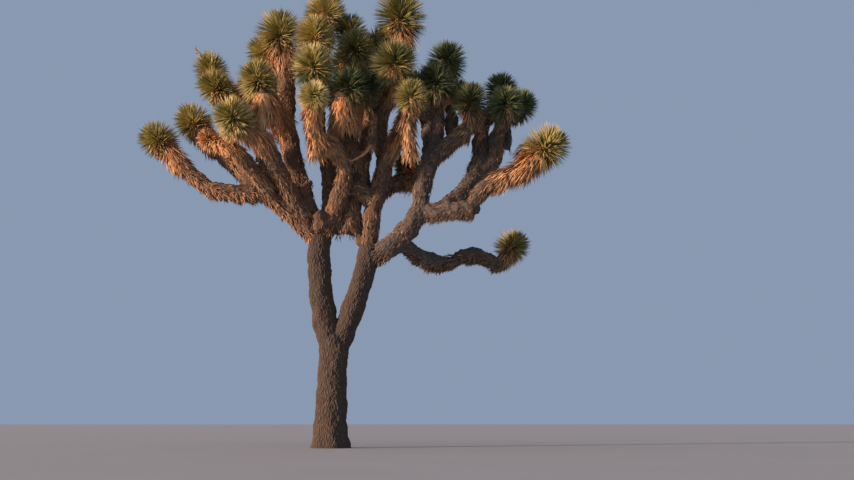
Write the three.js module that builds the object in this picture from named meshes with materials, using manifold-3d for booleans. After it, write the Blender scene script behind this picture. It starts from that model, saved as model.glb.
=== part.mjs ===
// A joshua tree: one short trunk, two stems, a candelabra of thick shaggy boughs, and at every bough's end
// dense round heads of dagger leaves. Millimetres, +Z up, origin at the middle of the trunk's foot.
import * as THREE from "three";
import { mergeVertices } from "three/addons/utils/BufferGeometryUtils.js";
import Module from "manifold-3d";

const wasm = await Module();
wasm.setup();

// Driving dimensions, in millimetres and degrees
const CLEARANCE = 0.38;
const FLARE = { radius: 60, height: 180 };
const LIMB = { taper: 0.9, rootFit: 0.8, rootLength: 250, sides: 8, step: 320 };
const NECK = { fit: 0.95, bend: 0.38, sides: 6, step: 340 };

// A head's measures, as shares of its leaf length: rings lie along its axis from the heart
const CORE = { skirt: 0.48, radius: 0.66, rings: [-0.62, -0.3, 0.1, 0.45, 0.64], tipShare: 0.01 };
const LEAF = {
  count: 17, sides: 3, sunk: 0.3, width: 0.42, thickness: 0.16, spread: 0.3, reach: [0.94, 1.04],
  opening: [8, 122], turnJitter: 20,
};
const GOLDEN_ANGLE = 137.508;
const SEED = 21;

// How leaves are kept to their space: the gap round them, the spacing of the beads that stand for a bar, the
// shares of a leaf that are tested, and the shares of its length that are tried before it is left out
const SPACE = { gap: 4, bead: 40, tests: [0.2, 0.4, 0.6, 0.8, 0.9, 1], cuts: [1, 0.85, 0.7] };
const SMOOTHING = { limb: 0.01, mass: 3 };

// The limbs. Each one starts on the centre line of the limb it grows on, at a share of that limb's length.
// Its chord has a length, a bearing (anticlockwise from +X) and a rise above level. Its middle lies below the
// chord by the sag and to the chord's left by the sway. The radius is the one at its root.
const LIMBS = {
  trunk: { radius: 212, step: 120,
    length: 1380, bearing: 0, rise: 89, sag: -10, sway: 0 },
  stem_left: { on: "trunk", at: 0.9, radius: 172,
    length: 1570, bearing: 180, rise: 82, sag: 75, sway: -20 },
  stem_right: { on: "trunk", at: 0.86, radius: 157,
    length: 1530, bearing: 354, rise: 72, sag: 40, sway: 10 },

  bough_left: { on: "stem_left", at: 0.97, radius: 130,
    length: 1060, bearing: 198, rise: 40, sag: -50, sway: -20 },
  bough_left_outer: { on: "bough_left", at: 0.97, radius: 100,
    length: 754, bearing: 185, rise: 3, sag: 33, sway: 30 },
  bough_left_tip: { on: "bough_left_outer", at: 0.97, radius: 103,
    length: 650, bearing: 174, rise: 42, sag: 20, sway: 0 },
  bough_left_high: { on: "bough_left", at: 0.86, radius: 135,
    length: 1267, bearing: 162, rise: 42, sag: 1, sway: 3 },
  bough_left_front: { on: "bough_left", at: 0.8, radius: 95,
    length: 955, bearing: 232, rise: 36, sag: -15, sway: 29 },
  bough_left_inner: { on: "stem_left", at: 0.97, radius: 125,
    length: 1525, bearing: 229, rise: 50, sag: -86, sway: -148 },
  bough_left_back: { on: "bough_left", at: 0.42, radius: 125,
    length: 1900, bearing: 148, rise: 62, sag: 74, sway: 36 },

  bough_upright: { on: "stem_left", at: 0.98, radius: 145,
    length: 1787, bearing: 175, rise: 73, sag: 52, sway: -20 },
  bough_upright_top: { on: "bough_upright", at: 0.98, radius: 130,
    length: 918, bearing: 113, rise: 86, sag: 29, sway: 1 },
  bough_middle_front: { on: "stem_left", at: 0.97, radius: 125,
    length: 1026, bearing: 321, rise: 63, sag: 4, sway: 49 },
  bough_middle_tip: { on: "bough_middle_front", at: 0.97, radius: 103,
    length: 672, bearing: 242, rise: 32, sag: -85, sway: 46 },
  bough_middle_back: { on: "stem_left", at: 0.97, radius: 118,
    length: 1470, bearing: 89, rise: 76, sag: 60, sway: -110 },
  bough_middle_top: { on: "bough_middle_back", at: 0.98, radius: 105,
    length: 930, bearing: 238, rise: 79, sag: 20, sway: -80 },

  bough_right_upright: { on: "stem_right", at: 0.98, radius: 120,
    length: 1370, bearing: 12, rise: 80, sag: -45, sway: 30 },
  bough_right_upright_top: { on: "bough_right_upright", at: 0.98, radius: 118,
    length: 910, bearing: 62, rise: 87, sag: -30, sway: 110 },
  bough_centre: { on: "bough_right_upright", at: 0.58, radius: 120,
    length: 531, bearing: 180, rise: 42, sag: 105, sway: 60 },
  bough_centre_top: { on: "bough_centre", at: 0.98, radius: 110,
    length: 729, bearing: 282, rise: 75, sag: -3, sway: 17 },
  bough_right_behind: { on: "bough_right_upright", at: 0.56, radius: 105,
    length: 1020, bearing: 56, rise: 28, sag: -70, sway: 30 },
  bough_cross: { on: "bough_right_upright", at: 0.5, radius: 130,
    length: 887, bearing: 117, rise: 63, sag: 87, sway: 88 },
  bough_cross_top: { on: "bough_cross", at: 0.98, radius: 115,
    length: 1263, bearing: 99, rise: 79, sag: 32, sway: -84 },

  bough_right: { on: "stem_right", at: 0.93, radius: 142,
    length: 970, bearing: 348, rise: 41, sag: 95, sway: 10 },
  bough_right_up: { on: "bough_right", at: 0.98, radius: 122,
    length: 810, bearing: 44, rise: 75, sag: -30, sway: -10 },
  bough_right_up_top: { on: "bough_right_up", at: 0.98, radius: 108,
    length: 740, bearing: 45, rise: 79, sag: 30, sway: -30 },
  bough_right_up_side: { on: "bough_right_up", at: 0.88, radius: 120,
    length: 725, bearing: 353, rise: 42, sag: -18, sway: 7 },
  bough_right_low: { on: "bough_right", at: 0.97, radius: 112,
    length: 765, bearing: 344, rise: 1, sag: -5, sway: -9 },
  bough_right_low_tip: { on: "bough_right_low", at: 0.95, radius: 100,
    length: 676, bearing: 348, rise: 40, sag: -73, sway: -14 },
  bough_right_back: { on: "bough_right_low", at: 0.42, radius: 125,
    length: 1479, bearing: 44, rise: 57, sag: 178, sway: -53 },
  bough_right_back_tip: { on: "bough_right_back", at: 0.55, radius: 120,
    length: 522, bearing: 3, rise: 52, sag: 92, sway: 51 },
  bough_lowest: { on: "bough_right", at: 0.52, radius: 94,
    length: 945, bearing: 32, rise: -13, sag: 150, sway: 19 },
  bough_lowest_tip: { on: "bough_lowest", at: 0.97, radius: 94,
    length: 642, bearing: 25, rise: 0, sag: -100, sway: -2 },

  bough_back_left: { on: "bough_upright", at: 0.45, radius: 110,
    length: 2221, bearing: 119, rise: 51, sag: -16, sway: -43 },
  bough_back_middle: { on: "bough_middle_back", at: 0.6, radius: 115,
    length: 2130, bearing: 87, rise: 53, sag: -20, sway: 70 },
  bough_back_right: { on: "bough_right_up", at: 0.8, radius: 105,
    length: 1800, bearing: 93, rise: 44, sag: 40, sway: -70 },
};

// The masses of leaf heads. Each head starts on a limb, at its end unless it names a share, and its heart
// lies at a distance, bearing and rise from there. It faces along a bearing and a rise, with its own leaf length.
const MASSES = {
  head_left_outer: [
    { on: "bough_left_tip", distance: 410, bearing: 179, rise: 44, faces: [180, 35], leaf: 285 },
  ],
  head_left_high: [
    { on: "bough_left_high", distance: 460, bearing: 179, rise: 47, faces: [175, 50], leaf: 295 },
  ],
  head_left_front: [
    { on: "bough_left_front", distance: 450, bearing: 156, rise: 22, faces: [215, 30], leaf: 170 },
  ],
  head_left_inner: [
    { on: "bough_left_inner", distance: 610, bearing: 223, rise: 28, faces: [245, 30], leaf: 300 },
  ],
  heads_left_back: [
    { on: "bough_left_back", distance: 670, bearing: 195, rise: 33, faces: [200, 45], leaf: 305 },
    { on: "bough_left_back", distance: 1200, bearing: 152, rise: 45, faces: [205, 65], leaf: 290 },
    { on: "bough_left_back", distance: 1260, bearing: 113, rise: 25, faces: [110, 25], leaf: 280 },
  ],
  head_upright_front: [
    { on: "bough_upright", at: 0.9, distance: 1050, bearing: 250, rise: 31, faces: [240, 50], leaf: 310 },
  ],
  heads_upright_top: [
    { on: "bough_upright_top", distance: 530, bearing: 206, rise: 76, faces: [270, 80], leaf: 385 },
    { on: "bough_upright_top", distance: 580, bearing: 142, rise: 35, faces: [170, 40], leaf: 310 },
  ],
  head_middle_front: [
    { on: "bough_middle_tip", distance: 610, bearing: 259, rise: 52, faces: [275, 10], leaf: 230 },
  ],
  heads_middle_top: [
    { on: "bough_middle_top", distance: 760, bearing: 270, rise: 5, faces: [260, 45], leaf: 345 },
    { on: "bough_middle_top", distance: 760, bearing: 264, rise: 62, faces: [245, 60], leaf: 355 },
    { on: "bough_middle_top", distance: 1260, bearing: 69, rise: 83, faces: [65, 85], leaf: 350 },
  ],
  heads_centre_front: [
    { on: "bough_centre_top", distance: 520, bearing: 269, rise: 48, faces: [260, 55], leaf: 315 },
    { on: "bough_centre_top", distance: 540, bearing: 347, rise: 66, faces: [320, 50], leaf: 300 },
  ],
  heads_centre_top: [
    { on: "bough_cross_top", distance: 780, bearing: 216, rise: 72, faces: [235, 75], leaf: 310 },
    { on: "bough_cross_top", distance: 600, bearing: 262, rise: 35, faces: [275, 50], leaf: 315 },
    { on: "bough_cross_top", distance: 750, bearing: 48, rise: 62, faces: [20, 60], leaf: 335 },
    { on: "bough_cross_top", distance: 930, bearing: 92, rise: 35, faces: [80, 40], leaf: 295 },
  ],
  heads_right_upright: [
    { on: "bough_right_upright_top", distance: 600, bearing: 282, rise: 41, faces: [280, 50], leaf: 370 },
    { on: "bough_right_upright_top", distance: 1340, bearing: 37, rise: 82, faces: [250, 80], leaf: 420 },
  ],
  head_right_front: [
    { on: "bough_right_upright", at: 0.93, distance: 1180, bearing: 294, rise: 38, faces: [275, 65],
      leaf: 260 },
  ],
  head_right_behind: [
    { on: "bough_right_behind", distance: 340, bearing: 118, rise: 48, faces: [135, 50], leaf: 220 },
  ],
  heads_right_up: [
    { on: "bough_right_up_top", distance: 870, bearing: 46, rise: 76, faces: [315, 80], leaf: 330 },
    { on: "bough_right_up_top", distance: 480, bearing: 265, rise: 52, faces: [255, 55], leaf: 310 },
  ],
  head_right_up_side: [
    { on: "bough_right_up_side", distance: 420, bearing: 295, rise: 74, faces: [290, 75], leaf: 300 },
  ],
  heads_right_back: [
    { on: "bough_right_back_tip", distance: 660, bearing: 285, rise: 51, faces: [275, 40], leaf: 285 },
    { on: "bough_right_back_tip", distance: 740, bearing: 8, rise: 60, faces: [0, 45], leaf: 280 },
  ],
  head_right_back: [
    { on: "bough_right_back", distance: 820, bearing: 30, rise: 64, faces: [135, 85], leaf: 290 },
  ],
  head_right_low: [
    { on: "bough_right_low_tip", distance: 650, bearing: 349, rise: 34, faces: [355, 35], leaf: 340 },
  ],
  head_lowest: [
    { on: "bough_lowest_tip", distance: 420, bearing: 19, rise: 42, faces: [10, 45], leaf: 275 },
  ],
  heads_back_left: [
    { on: "bough_back_left", distance: 840, bearing: 95, rise: 64, faces: [90, 65], leaf: 300 },
    { on: "bough_back_left", distance: 820, bearing: 125, rise: 33, faces: [120, 25], leaf: 290 },
    { on: "bough_back_left", distance: 490, bearing: 186, rise: -9, faces: [170, 30], leaf: 280 },
  ],
  heads_back_middle: [
    { on: "bough_back_middle", distance: 900, bearing: 92, rise: 70, faces: [80, 70], leaf: 300 },
    { on: "bough_back_middle", distance: 670, bearing: 109, rise: 29, faces: [95, 25], leaf: 290 },
    { on: "bough_back_middle", distance: 780, bearing: 35, rise: 26, faces: [50, 35], leaf: 290 },
  ],
  heads_back_right: [
    { on: "bough_back_right", distance: 660, bearing: 104, rise: 57, faces: [105, 60], leaf: 290 },
    { on: "bough_back_right", distance: 610, bearing: 11, rise: 33, faces: [35, 40], leaf: 280 },
  ],
};

const BARK = new THREE.MeshStandardMaterial({ color: 0x6b5a48, roughness: 0.95, metalness: 0 });
const FOLIAGE = new THREE.MeshStandardMaterial({ color: 0x6f7440, roughness: 0.7, metalness: 0 });

// A unit vector along a bearing and a rise
function towards(bearing, rise) {
  const b = THREE.MathUtils.degToRad(bearing);
  const r = THREE.MathUtils.degToRad(rise);
  return new THREE.Vector3(Math.cos(r) * Math.cos(b), Math.cos(r) * Math.sin(b), Math.sin(r));
}

// A repeatable stream of numbers from 0 to 1
function randomStream(seed) {
  let state = seed >>> 0;
  return () => {
    state = (state + 0x6d2b79f5) >>> 0;
    let mixed = Math.imul(state ^ (state >>> 15), state | 1);
    mixed ^= mixed + Math.imul(mixed ^ (mixed >>> 7), mixed | 61);
    return ((mixed ^ (mixed >>> 14)) >>> 0) / 4294967296;
  };
}

// The bowed centre line of a limb, from its start on the limb that carries it
function limbLine(limb, lines) {
  const root = limb.on ? lines[limb.on].getPoint(limb.at) : new THREE.Vector3();
  const tip = root.clone().addScaledVector(towards(limb.bearing, limb.rise), limb.length);
  const middle = root.clone().lerp(tip, 0.5);
  const control = middle.clone();
  control.addScaledVector(towards(limb.bearing, limb.rise + 90), -2 * limb.sag);
  control.addScaledVector(towards(limb.bearing + 90, 0), 2 * limb.sway);
  return new THREE.QuadraticBezierCurve3(root, control, tip);
}

// A limb's radius at a share of its length: the trunk flares to its foot, and a limb narrows into its fork
function limbRadius(limb, share) {
  const run = share * limb.length;
  const radius = limb.radius * THREE.MathUtils.lerp(1, LIMB.taper, share);
  if (!limb.on) return radius + FLARE.radius * Math.exp(-run / FLARE.height);
  return radius * THREE.MathUtils.lerp(LIMB.rootFit, 1, Math.min(1, run / LIMB.rootLength));
}

// A closed mesh as a solid that can be joined and cut
function solidOf(geometry) {
  geometry.deleteAttribute("normal");
  geometry.deleteAttribute("uv");
  const merged = mergeVertices(geometry, 1e-3);
  const vertProperties = new Float32Array(merged.attributes.position.array);
  const triVerts = new Uint32Array(merged.index.array);
  return new wasm.Manifold(new wasm.Mesh({ numProp: 3, vertProperties, triVerts }));
}

// The largest body of a solid, with loose scraps dropped and sealed hollows filled
function largestBody(solid) {
  return solid.decompose().reduce((best, body) => (body.volume() > best.volume() ? body : best));
}

// A named mesh of a solid
function meshOf(name, solid, material) {
  const { vertProperties, triVerts } = solid.getMesh();
  const geometry = new THREE.BufferGeometry();
  geometry.setAttribute("position", new THREE.BufferAttribute(vertProperties, 3));
  geometry.setIndex(new THREE.BufferAttribute(triVerts, 1));
  geometry.computeVertexNormals();
  const mesh = new THREE.Mesh(geometry, material.clone());
  mesh.name = name;
  return mesh;
}

// Even shares of a curve from its start to an end share
function evenShares(curve, step, end = 1) {
  const count = Math.max(2, Math.round(end * curve.getLength() / step));
  return Array.from({ length: count + 1 }, (_, i) => end * i / count);
}

// A round bar bent along a curve, with a ring at each share of its length and a radius from a function, and
// run on past both ends of the curve by an overrun
function taperedBar(curve, shares, radiusAt, sides, overrun) {
  const last = shares.length - 1;
  const across = new THREE.Vector3(0, 1, 0);
  const rings = shares.map((share, order) => {
    const heading = curve.getTangentAt(share);
    const shift = order === 0 ? -overrun : order === last ? overrun : 0;
    across.addScaledVector(heading, -across.dot(heading)).normalize();
    return {
      centre: curve.getPointAt(share).addScaledVector(heading, shift),
      across: across.clone().multiplyScalar(radiusAt(share)),
      aside: across.clone().cross(heading).multiplyScalar(radiusAt(share)),
    };
  });
  const geometry = new THREE.CylinderGeometry(1, 1, 1, sides, last);
  const position = geometry.attributes.position;
  for (let i = 0; i < position.count; i++) {
    const ring = rings[Math.round((position.getY(i) + 0.5) * last)];
    const point = ring.centre.clone().addScaledVector(ring.across, position.getX(i));
    position.setXYZ(i, ...point.addScaledVector(ring.aside, position.getZ(i)));
  }
  return geometry;
}

// A limb as a solid, its skin moved out by an extra thickness, with the trunk's foot cut level
function limbSolid(limb, line, extra) {
  const shares = evenShares(line, limb.step ?? LIMB.step);
  const geometry = taperedBar(line, shares, (share) => limbRadius(limb, share) + extra, LIMB.sides, extra);
  const position = geometry.attributes.position;
  for (let i = 0; i < position.count; i++) {
    if (!limb.on && position.getZ(i) < limb.step / 2) position.setZ(i, 0);
  }
  return solidOf(geometry);
}

// A head's neck leaves the limb along the limb's heading, meets the heart along the head's own axis, widens
// to a skirt of dead leaves and closes in a round core of packed leaves about the heart
function headShape(head, lines) {
  const limb = LIMBS[head.on];
  const share = head.at ?? 1;
  const start = lines[head.on].getPoint(share);
  const chord = towards(head.bearing, head.rise);
  const heart = start.clone().addScaledVector(chord, head.distance);
  const axis = towards(...head.faces);
  const heading = lines[head.on].getTangent(share);
  if (share < 1) heading.add(chord).normalize();
  const bend = NECK.bend * head.distance;
  const leave = start.clone().addScaledVector(heading, bend);
  const arrive = heart.clone().addScaledVector(axis, -bend);
  const top = heart.clone().addScaledVector(axis, CORE.rings.at(-1) * head.leaf);

  const line = new THREE.CurvePath();
  line.add(new THREE.CubicBezierCurve3(start, leave, arrive, heart));
  line.add(new THREE.LineCurve3(heart, top));
  const length = line.getLength();
  const heartAt = line.curves[0].getLength();
  const skirtAt = heartAt + CORE.rings[0] * head.leaf;

  const rootRadius = NECK.fit * limbRadius(limb, share);
  const coreRadius = CORE.radius * head.leaf;
  const radiusAt = (s) => {
    const beyond = (s * length - heartAt) / coreRadius;
    const round = coreRadius * Math.sqrt(Math.max(CORE.tipShare, 1 - beyond * beyond));
    const along = THREE.MathUtils.clamp(s * length / skirtAt, 0, 1);
    const neck = THREE.MathUtils.lerp(rootRadius, CORE.skirt * head.leaf, along);
    return beyond < 0 ? Math.max(round, neck) : round;
  };
  const rings = CORE.rings.slice(1).map((ring) => Math.min(1, (heartAt + ring * head.leaf) / length));
  const shares = [...evenShares(line, NECK.step, skirtAt / length), ...rings];
  return { ...head, heart, axis, line, radiusAt, shares };
}

// A head's neck, skirt and core as one solid, its skin moved out by an extra thickness
function headCore(head, extra) {
  const radiusAt = (share) => head.radiusAt(share) + extra;
  return solidOf(taperedBar(head.line, head.shares, radiusAt, NECK.sides, extra));
}

// A head's leaves turn by the golden angle from bud to skirt, and open from upright to bent back
function headLeaves(head, random) {
  const side = new THREE.Vector3(0, 0, 1).cross(head.axis).normalize();
  const first = Math.cos(THREE.MathUtils.degToRad(LEAF.opening[0]));
  const last = Math.cos(THREE.MathUtils.degToRad(LEAF.opening[1]));
  return Array.from({ length: LEAF.count }, (_, i) => {
    const share = (i + 0.5) / LEAF.count;
    const opening = Math.acos(THREE.MathUtils.lerp(first, last, share));
    const turn = THREE.MathUtils.degToRad(i * GOLDEN_ANGLE + LEAF.turnJitter * (random() - 0.5));
    const outwards = side.clone().applyAxisAngle(head.axis, turn).multiplyScalar(Math.sin(opening));
    return {
      axis: head.axis,
      root: head.heart.clone().addScaledVector(head.axis, -LEAF.spread * head.leaf * share),
      along: head.axis.clone().multiplyScalar(Math.cos(opening)).add(outwards),
      sunk: LEAF.sunk * head.leaf,
      length: head.leaf * THREE.MathUtils.lerp(...LEAF.reach, random()),
      width: LEAF.width * head.leaf,
      thickness: LEAF.thickness * head.leaf,
    };
  });
}

// A leaf is a three-sided dagger with its flat side to the head's axis
function leafSolid(leaf) {
  const geometry = new THREE.ConeGeometry(1, 1, LEAF.sides, 1);
  geometry.translate(0, 0.5, 0);
  geometry.scale(leaf.width / 2, leaf.length - leaf.sunk, leaf.thickness / 2);
  geometry.translate(0, leaf.sunk, 0);
  const away = leaf.along.clone().multiplyScalar(leaf.along.dot(leaf.axis)).sub(leaf.axis).normalize();
  const aside = leaf.along.clone().cross(away);
  geometry.applyMatrix4(new THREE.Matrix4().makeBasis(aside, leaf.along, away).setPosition(leaf.root));
  return solidOf(geometry);
}

// The points and radii that stand for a bar when leaves are kept clear of it
function beads(curve, radiusAt) {
  const shares = evenShares(curve, SPACE.bead);
  return shares.map((share) => ({ at: curve.getPointAt(share), radius: radiusAt(share) }));
}

// Whether a leaf stays nearer to its own mass than to any other and clear of every limb and neck in its way
function leafFits(leaf, own, others, obstacles) {
  return SPACE.tests.every((share) => {
    const reach = THREE.MathUtils.lerp(leaf.sunk, leaf.length, share);
    const point = leaf.root.clone().addScaledVector(leaf.along, reach);
    const half = leaf.width / 2 * (1 - share);
    const home = Math.min(...own.map((heart) => heart.distanceTo(point)));
    const roomy = others.every((heart) => heart.distanceTo(point) - home > 2 * half + SPACE.gap);
    return roomy && obstacles.every((bead) => bead.at.distanceTo(point) > bead.radius + half + SPACE.gap);
  });
}

// The trunk, stems and boughs: each limb is cut clear of the ones made before it
const tree = new THREE.Group();
const lines = {};
const limbSkins = [];
for (const [name, limb] of Object.entries(LIMBS)) {
  lines[name] = limbLine(limb, lines);
  const solid = limbSkins.reduce((rest, skin) => rest.subtract(skin), limbSolid(limb, lines[name], 0));
  tree.add(meshOf(name, largestBody(solid).simplify(SMOOTHING.limb), BARK));
  limbSkins.push(limbSolid(limb, lines[name], CLEARANCE));
}

// The leaf heads: each mass keeps to the space nearest to its own hearts, clear of the limbs and other necks
const masses = Object.entries(MASSES).map(([name, heads]) => (
  { name, heads: heads.map((head) => headShape(head, lines)) }
));
const limbBeads = Object.entries(LIMBS).flatMap(([name, limb]) => (
  beads(lines[name], (share) => limbRadius(limb, share))
));
const coreSkins = [];
masses.forEach((mass, order) => {
  const random = randomStream(SEED + order);
  const own = mass.heads.map((head) => head.heart);
  const rivals = masses.filter((other) => other !== mass).flatMap((other) => other.heads);
  const others = rivals.map((head) => head.heart);
  const obstacles = limbBeads.concat(rivals.flatMap((head) => beads(head.line, head.radiusAt)));
  const leaves = mass.heads.flatMap((head) => headLeaves(head, random)).flatMap((leaf) => {
    const cuts = SPACE.cuts.map((cut) => ({ ...leaf, length: cut * leaf.length }));
    return cuts.filter((cut) => leafFits(cut, own, others, obstacles)).slice(0, 1);
  });
  const pieces = [...mass.heads.map((head) => headCore(head, 0)), ...leaves.map(leafSolid)];
  const joined = pieces.reduce((whole, piece) => whole.add(piece));
  const body = largestBody(joined).simplify(SMOOTHING.mass);
  const solid = [...limbSkins, ...coreSkins].reduce((rest, skin) => rest.subtract(skin), body);
  tree.add(meshOf(mass.name, largestBody(solid).simplify(SMOOTHING.limb), FOLIAGE));
  coreSkins.push(...mass.heads.map((head) => headCore(head, CLEARANCE)));
});

export default tree;
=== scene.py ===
import bmesh
import bpy
import math
import numpy as np
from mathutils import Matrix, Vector
from types import SimpleNamespace


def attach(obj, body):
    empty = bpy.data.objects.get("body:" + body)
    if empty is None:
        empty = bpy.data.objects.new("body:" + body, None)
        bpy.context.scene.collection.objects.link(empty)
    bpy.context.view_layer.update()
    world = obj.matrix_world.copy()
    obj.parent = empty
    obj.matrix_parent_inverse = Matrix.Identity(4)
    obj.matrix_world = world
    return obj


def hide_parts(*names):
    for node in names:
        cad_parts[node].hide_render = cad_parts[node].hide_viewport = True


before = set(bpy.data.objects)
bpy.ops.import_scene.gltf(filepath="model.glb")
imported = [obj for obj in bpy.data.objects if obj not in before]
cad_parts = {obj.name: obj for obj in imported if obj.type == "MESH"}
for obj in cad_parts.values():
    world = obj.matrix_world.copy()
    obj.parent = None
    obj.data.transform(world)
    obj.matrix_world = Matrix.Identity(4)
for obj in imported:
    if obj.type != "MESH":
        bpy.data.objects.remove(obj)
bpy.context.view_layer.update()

# The camera stands low in front of the tree, a little to its right, and looks up at the crown. It sees the tree
# as the photograph does, with a 40 mm lens on a 36 mm wide film.
CAMERA_PLACE = (1.272, -12.8, 0.32)
CAMERA_TILT = 10.93
CAMERA_LENS = 40
CAMERA_REACH = 600


def shown_object(name, data):
    """A new object in the scene for a mesh, lamp or camera"""
    made = bpy.data.objects.new(name, data)
    bpy.context.scene.collection.objects.link(made)
    return made


camera = shown_object("camera", bpy.data.cameras.new("camera"))
camera.data.lens = CAMERA_LENS
camera.data.clip_end = CAMERA_REACH
camera.location = CAMERA_PLACE
camera.rotation_euler = (math.radians(90 + CAMERA_TILT), 0, 0)
bpy.context.scene.camera = camera

# The studio: a plain pale floor that runs far back, and an even cool light from all round, a little dimmer than
# the backdrop looks. One warm lamp stands low on the left and a little in front, as the sun before it sets. A
# wide soft one above it gives the glow of the sky round the sun.
SKY_COLOUR = (0.25, 0.32, 0.44)
SKY_LIGHT = (0.165, 0.21, 0.285)
# Each lamp's colour and strength, and its rise above level and its width in degrees
LAMPS = {"low_sun": ((1, 0.64, 0.44), 5.5, 5, 5), "sky_glow": ((1, 0.93, 0.88), 0.62, 28, 110)}
LAMP_BEARING = 205
FLOOR_HALF = 250
FLOOR_COLOURS = ((0.56, 0.54, 0.52), (0.62, 0.6, 0.58))
FLOOR_GRAIN = 0.8
FLOOR_ROUGHNESS = 0.9


def put(tree, kind, inputs=None, **settings):
    """A new node, with its settings, and each input given a value or joined to an output"""
    made = tree.nodes.new(kind)
    for name, value in settings.items():
        setattr(made, name, value)
    for name, value in (inputs or {}).items():
        if isinstance(value, bpy.types.NodeSocket):
            tree.links.new(value, made.inputs[name])
        else:
            made.inputs[name].default_value = value
    return made


def noise(tree, place, scale, detail, output="Fac"):
    """Soft noise over a place"""
    return put(tree, "ShaderNodeTexNoise", {"Vector": place, "Scale": scale, "Detail": detail}).outputs[output]


def blend(tree, share, first, second):
    """A colour between two others, each an output or red, green and blue"""
    ends = [end if isinstance(end, bpy.types.NodeSocket) else (*end, 1) for end in (first, second)]
    return put(tree, "ShaderNodeMix", {0: share, 6: ends[0], 7: ends[1]}, data_type="RGBA").outputs[2]


def blank_material(name):
    """An empty material and its node tree"""
    material = bpy.data.materials.new(name)
    material.use_nodes = True
    material.node_tree.nodes.clear()
    return material, material.node_tree


def dress(tree, inputs):
    """Gives a material's tree its skin"""
    skin = put(tree, "ShaderNodeBsdfPrincipled", inputs)
    put(tree, "ShaderNodeOutputMaterial", {"Surface": skin.outputs[0]})


def towards(bearing, rise):
    """A unit vector along a bearing, anticlockwise from +X, and a rise, both in degrees"""
    b, r = math.radians(bearing), math.radians(rise)
    return np.array([math.cos(r) * math.cos(b), math.cos(r) * math.sin(b), math.sin(r)])


world = bpy.data.worlds.new("studio_sky")
world.use_nodes = True
seen = put(world.node_tree, "ShaderNodeLightPath").outputs["Is Camera Ray"]
sky = blend(world.node_tree, seen, SKY_LIGHT, SKY_COLOUR)
world.node_tree.links.new(sky, world.node_tree.nodes["Background"].inputs["Color"])
bpy.context.scene.world = world
bpy.context.scene.view_settings.view_transform = "Standard"

for name, (colour, strength, rise, width) in LAMPS.items():
    lamp = shown_object(name, bpy.data.lights.new(name, "SUN"))
    lamp.data.energy = strength
    lamp.data.color = colour
    lamp.data.angle = math.radians(width)
    lamp.rotation_euler = Vector(towards(LAMP_BEARING, rise)).to_track_quat("Z", "Y").to_euler()

floor_material, tree = blank_material("pale_floor")
place = put(tree, "ShaderNodeTexCoord").outputs["Object"]
shade = blend(tree, noise(tree, place, FLOOR_GRAIN, 6), *FLOOR_COLOURS)
dress(tree, {"Base Color": shade, "Roughness": FLOOR_ROUGHNESS})

floor_mesh = bpy.data.meshes.new("floor")
corners = [(x * FLOOR_HALF, y * FLOOR_HALF, 0) for x, y in ((-1, -1), (1, -1), (1, 1), (-1, 1))]
floor_mesh.from_pydata(corners, [], [(0, 1, 2, 3)])
floor_mesh.materials.append(floor_material)
floor = shown_object("floor", floor_mesh)

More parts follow.
